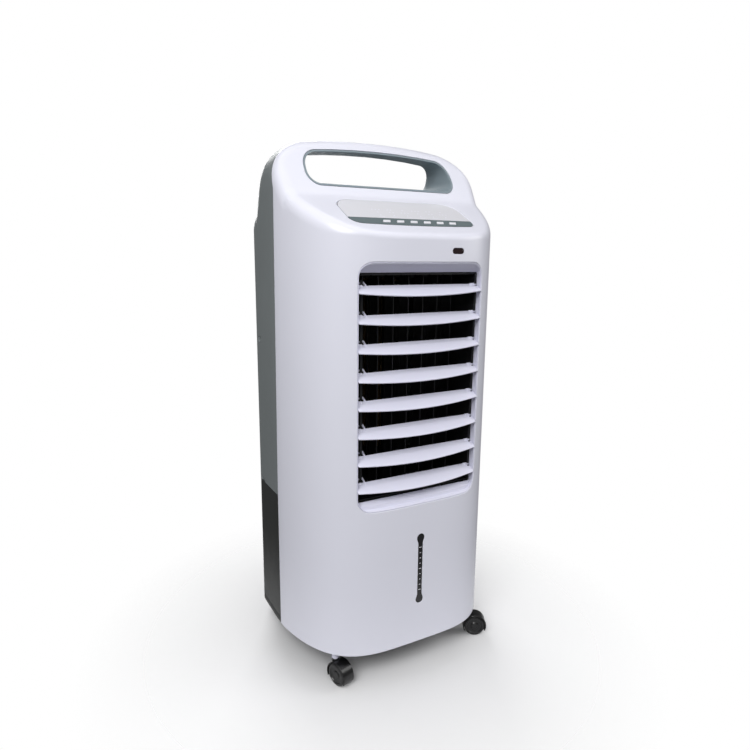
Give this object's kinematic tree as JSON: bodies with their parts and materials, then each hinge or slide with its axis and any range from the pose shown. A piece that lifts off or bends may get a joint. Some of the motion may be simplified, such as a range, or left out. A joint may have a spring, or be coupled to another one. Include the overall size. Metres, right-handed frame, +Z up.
{
  "type": "evaporative air cooler",
  "caption": "Slim tower evaporative air cooler on casters with tilting louvres, swinging vanes, cross-flow fan, slide-out water tank, sloped control panel and a see-through carrying handle.",
  "frame": {"origin": "on the floor, under the middle of the body's bounding box", "axes": "+X to the right as seen from the front, +Y to the back, +Z up"},
  "size_m": [0.3034, 0.26, 0.704],
  "materials": {
    "shell_white": "semi-gloss moulded ABS, white with a faint lavender cast",
    "rear_grey": "fine-textured mid grey moulded plastic",
    "tank_charcoal": "dark charcoal moulded plastic",
    "liner_grey": "satin teal-grey moulded plastic",
    "recess_white": "satin lavender-white moulded plastic",
    "black_plastic": "satin black moulded plastic",
    "motor_steel": "zinc-plated steel motor can",
    "seal_rubber": "matt black rubber",
    "natural_plastic": "natural milky plastic",
    "pad_paper": "corrugated honeycomb cooling paper",
    "filter_mesh": "fine black nylon mesh",
    "overlay_white": "glossy off-white membrane overlay",
    "strip_grey": "glossy slate-grey plastic",
    "button_white": "semi-gloss white key caps",
    "board_green": "solder-masked circuit board",
    "smoked_lens": "dark red-tinted infrared window",
    "window_black": "black level window with pale tick marks",
    "caster_black": "glossy black nylon"
  },
  "bodies": {
    "casing": {"front_shell": "shell_white", "rear_shell": "rear_grey", "base_plate": "tank_charcoal", "handle_liner": "liner_grey", "grille_bezel": "recess_white", "vane_frame": "black_plastic", "swing_motor": "motor_steel", "fan_motor": "motor_steel", "fan_housing": "black_plastic", "riser_pipe": "natural_plastic", "water_tray": "natural_plastic", "cooling_pad": "pad_paper", "cord_gland": "seal_rubber", "control_overlay": "overlay_white", "button_strip": "strip_grey", "control_board": "board_green", "ir_window": "smoked_lens", "level_window": "window_black"},
    "louvre_1": {"louvre_1": "recess_white"},
    "louvre_2": {"louvre_2": "recess_white"},
    "louvre_3": {"louvre_3": "recess_white"},
    "louvre_4": {"louvre_4": "recess_white"},
    "louvre_5": {"louvre_5": "recess_white"},
    "louvre_6": {"louvre_6": "recess_white"},
    "louvre_7": {"louvre_7": "recess_white"},
    "louvre_8": {"louvre_8": "recess_white"},
    "louvre_link": {"louvre_link": "black_plastic"},
    "vane_1": {"vane_1": "black_plastic"},
    "vane_2": {"vane_2": "black_plastic"},
    "vane_3": {"vane_3": "black_plastic"},
    "vane_4": {"vane_4": "black_plastic"},
    "vane_5": {"vane_5": "black_plastic"},
    "vane_6": {"vane_6": "black_plastic"},
    "vane_7": {"vane_7": "black_plastic"},
    "vane_link": {"vane_link": "black_plastic"},
    "swing_crank": {"swing_crank": "black_plastic"},
    "fan_wheel": {"fan_wheel": "black_plastic"},
    "tank": {"water_tank": "tank_charcoal", "pump": "black_plastic"},
    "pump_impeller": {"pump_impeller": "natural_plastic"},
    "drain_plug": {"drain_plug": "seal_rubber"},
    "tank_latch": {"tank_latch": "black_plastic"},
    "intake": {"rear_grille": "rear_grey", "dust_filter": "filter_mesh"},
    "button_1": {"button_1": "button_white"},
    "button_2": {"button_2": "button_white"},
    "button_3": {"button_3": "button_white"},
    "button_4": {"button_4": "button_white"},
    "button_5": {"button_5": "button_white"},
    "button_6": {"button_6": "button_white"},
    "caster_fl": {"caster_hood_fl": "caster_black"},
    "wheels_fl": {"caster_wheels_fl": "caster_black"},
    "caster_fr": {"caster_hood_fr": "caster_black"},
    "wheels_fr": {"caster_wheels_fr": "caster_black"},
    "caster_rl": {"caster_hood_rl": "caster_black"},
    "wheels_rl": {"caster_wheels_rl": "caster_black"},
    "caster_rr": {"caster_hood_rr": "caster_black"},
    "wheels_rr": {"caster_wheels_rr": "caster_black"}
  },
  "joints": [
    {"name": "louvre_1_tilt", "type": "hinge", "parent": "casing", "child": "louvre_1", "pos_m": [0, -0.11, 0.519], "axis": [-1, 0, 0], "range_deg": [-20, 45]},
    {"name": "louvre_2_tilt", "type": "hinge", "parent": "casing", "child": "louvre_2", "pos_m": [0, -0.11, 0.484], "axis": [-1, 0, 0], "range_deg": [-20, 45]},
    {"name": "louvre_3_tilt", "type": "hinge", "parent": "casing", "child": "louvre_3", "pos_m": [0, -0.11, 0.449], "axis": [-1, 0, 0], "range_deg": [-20, 45]},
    {"name": "louvre_4_tilt", "type": "hinge", "parent": "casing", "child": "louvre_4", "pos_m": [0, -0.11, 0.414], "axis": [-1, 0, 0], "range_deg": [-20, 45]},
    {"name": "louvre_5_tilt", "type": "hinge", "parent": "casing", "child": "louvre_5", "pos_m": [0, -0.11, 0.379], "axis": [-1, 0, 0], "range_deg": [-20, 45]},
    {"name": "louvre_6_tilt", "type": "hinge", "parent": "casing", "child": "louvre_6", "pos_m": [0, -0.11, 0.344], "axis": [-1, 0, 0], "range_deg": [-20, 45]},
    {"name": "louvre_7_tilt", "type": "hinge", "parent": "casing", "child": "louvre_7", "pos_m": [0, -0.11, 0.309], "axis": [-1, 0, 0], "range_deg": [-20, 45]},
    {"name": "louvre_8_tilt", "type": "hinge", "parent": "casing", "child": "louvre_8", "pos_m": [0, -0.11, 0.274], "axis": [-1, 0, 0], "range_deg": [-20, 45]},
    {"name": "louvre_link_tie", "type": "hinge", "parent": "louvre_1", "child": "louvre_link", "pos_m": [-0.077, -0.10307, 0.523], "axis": [-1, 0, 0], "range_deg": [-45, 20]},
    {"name": "vane_1_swing", "type": "hinge", "parent": "casing", "child": "vane_1", "pos_m": [-0.066, -0.068, 0.39], "axis": [0, 0, 1], "range_deg": [-30, 30]},
    {"name": "vane_2_swing", "type": "hinge", "parent": "casing", "child": "vane_2", "pos_m": [-0.044, -0.068, 0.39], "axis": [0, 0, 1], "range_deg": [-30, 30]},
    {"name": "vane_3_swing", "type": "hinge", "parent": "casing", "child": "vane_3", "pos_m": [-0.022, -0.068, 0.39], "axis": [0, 0, 1], "range_deg": [-30, 30]},
    {"name": "vane_4_swing", "type": "hinge", "parent": "casing", "child": "vane_4", "pos_m": [0, -0.068, 0.39], "axis": [0, 0, 1], "range_deg": [-30, 30]},
    {"name": "vane_5_swing", "type": "hinge", "parent": "casing", "child": "vane_5", "pos_m": [0.022, -0.068, 0.39], "axis": [0, 0, 1], "range_deg": [-30, 30]},
    {"name": "vane_6_swing", "type": "hinge", "parent": "casing", "child": "vane_6", "pos_m": [0.044, -0.068, 0.39], "axis": [0, 0, 1], "range_deg": [-30, 30]},
    {"name": "vane_7_swing", "type": "hinge", "parent": "casing", "child": "vane_7", "pos_m": [0.066, -0.068, 0.39], "axis": [0, 0, 1], "range_deg": [-30, 30]},
    {"name": "vane_link_tie", "type": "hinge", "parent": "vane_1", "child": "vane_link", "pos_m": [-0.066, -0.08, 0.2525], "axis": [0, 0, 1], "range_deg": [-30, 30]},
    {"name": "swing_crank_turn", "type": "hinge", "parent": "casing", "child": "swing_crank", "pos_m": [0.05, -0.079, 0.24], "axis": [0, 0, 1], "continuous": true},
    {"name": "fan_spin", "type": "hinge", "parent": "casing", "child": "fan_wheel", "pos_m": [0, 0.01, 0.39], "axis": [0, 0, 1], "continuous": true},
    {"name": "tank_slide", "type": "slide", "parent": "casing", "child": "tank", "axis": [0, 1, 0], "range_m": [0, 0.2]},
    {"name": "pump_impeller_spin", "type": "hinge", "parent": "tank", "child": "pump_impeller", "pos_m": [0.088, 0.08, 0.062], "axis": [0, 0, 1], "continuous": true},
    {"name": "drain_plug_pull", "type": "slide", "parent": "tank", "child": "drain_plug", "axis": [0, 1, 0], "range_m": [0, 0.025]},
    {"name": "tank_latch_turn", "type": "hinge", "parent": "casing", "child": "tank_latch", "pos_m": [0, 0.126, 0.245], "axis": [0, 1, 0], "range_deg": [0, 90]},
    {"name": "intake_pull", "type": "slide", "parent": "casing", "child": "intake", "axis": [0, 1, 0], "range_m": [0, 0.12]},
    {"name": "button_1_press", "type": "slide", "parent": "casing", "child": "button_1", "axis": [0, 0.4648, -0.8854], "range_m": [0, 0.001], "stiffness_N_per_m": 400, "springref_m": -0.0008},
    {"name": "button_2_press", "type": "slide", "parent": "casing", "child": "button_2", "axis": [0, 0.4648, -0.8854], "range_m": [0, 0.001], "stiffness_N_per_m": 400, "springref_m": -0.0008},
    {"name": "button_3_press", "type": "slide", "parent": "casing", "child": "button_3", "axis": [0, 0.4648, -0.8854], "range_m": [0, 0.001], "stiffness_N_per_m": 400, "springref_m": -0.0008},
    {"name": "button_4_press", "type": "slide", "parent": "casing", "child": "button_4", "axis": [0, 0.4648, -0.8854], "range_m": [0, 0.001], "stiffness_N_per_m": 400, "springref_m": -0.0008},
    {"name": "button_5_press", "type": "slide", "parent": "casing", "child": "button_5", "axis": [0, 0.4648, -0.8854], "range_m": [0, 0.001], "stiffness_N_per_m": 400, "springref_m": -0.0008},
    {"name": "button_6_press", "type": "slide", "parent": "casing", "child": "button_6", "axis": [0, 0.4648, -0.8854], "range_m": [0, 0.001], "stiffness_N_per_m": 400, "springref_m": -0.0008},
    {"name": "caster_fl_swivel", "type": "hinge", "parent": "casing", "child": "caster_fl", "pos_m": [-0.109, -0.097, 0.04], "axis": [0, 0, 1], "continuous": true},
    {"name": "wheels_fl_roll", "type": "hinge", "parent": "caster_fl", "child": "wheels_fl", "pos_m": [-0.10623, -0.10661, 0.015], "axis": [0.9608, 0.2773, 0], "continuous": true},
    {"name": "caster_fr_swivel", "type": "hinge", "parent": "casing", "child": "caster_fr", "pos_m": [0.109, -0.097, 0.04], "axis": [0, 0, 1], "continuous": true},
    {"name": "wheels_fr_roll", "type": "hinge", "parent": "caster_fr", "child": "wheels_fr", "pos_m": [0.11775, -0.10183, 0.015], "axis": [0.4833, 0.8755, 0], "continuous": true},
    {"name": "caster_rl_swivel", "type": "hinge", "parent": "casing", "child": "caster_rl", "pos_m": [-0.109, 0.088, 0.04], "axis": [0, 0, 1], "continuous": true},
    {"name": "wheels_rl_roll", "type": "hinge", "parent": "caster_rl", "child": "wheels_rl", "pos_m": [-0.1137, 0.09683, 0.015], "axis": [-0.8829, -0.4695, 0], "continuous": true},
    {"name": "caster_rr_swivel", "type": "hinge", "parent": "casing", "child": "caster_rr", "pos_m": [0.109, 0.088, 0.04], "axis": [0, 0, 1], "continuous": true},
    {"name": "wheels_rr_roll", "type": "hinge", "parent": "caster_rr", "child": "wheels_rr", "pos_m": [0.1137, 0.09683, 0.015], "axis": [-0.8829, 0.4695, 0], "continuous": true}
  ],
  "couplings": [
    {"joint": "louvre_2_tilt", "follows": "louvre_1_tilt", "ratio": 1},
    {"joint": "louvre_3_tilt", "follows": "louvre_1_tilt", "ratio": 1},
    {"joint": "louvre_4_tilt", "follows": "louvre_1_tilt", "ratio": 1},
    {"joint": "louvre_5_tilt", "follows": "louvre_1_tilt", "ratio": 1},
    {"joint": "louvre_6_tilt", "follows": "louvre_1_tilt", "ratio": 1},
    {"joint": "louvre_7_tilt", "follows": "louvre_1_tilt", "ratio": 1},
    {"joint": "louvre_8_tilt", "follows": "louvre_1_tilt", "ratio": 1},
    {"joint": "louvre_link_tie", "follows": "louvre_1_tilt", "ratio": -1},
    {"joint": "vane_2_swing", "follows": "vane_1_swing", "ratio": 1},
    {"joint": "vane_3_swing", "follows": "vane_1_swing", "ratio": 1},
    {"joint": "vane_4_swing", "follows": "vane_1_swing", "ratio": 1},
    {"joint": "vane_5_swing", "follows": "vane_1_swing", "ratio": 1},
    {"joint": "vane_6_swing", "follows": "vane_1_swing", "ratio": 1},
    {"joint": "vane_7_swing", "follows": "vane_1_swing", "ratio": 1},
    {"joint": "vane_link_tie", "follows": "vane_1_swing", "ratio": -1}
  ]
}
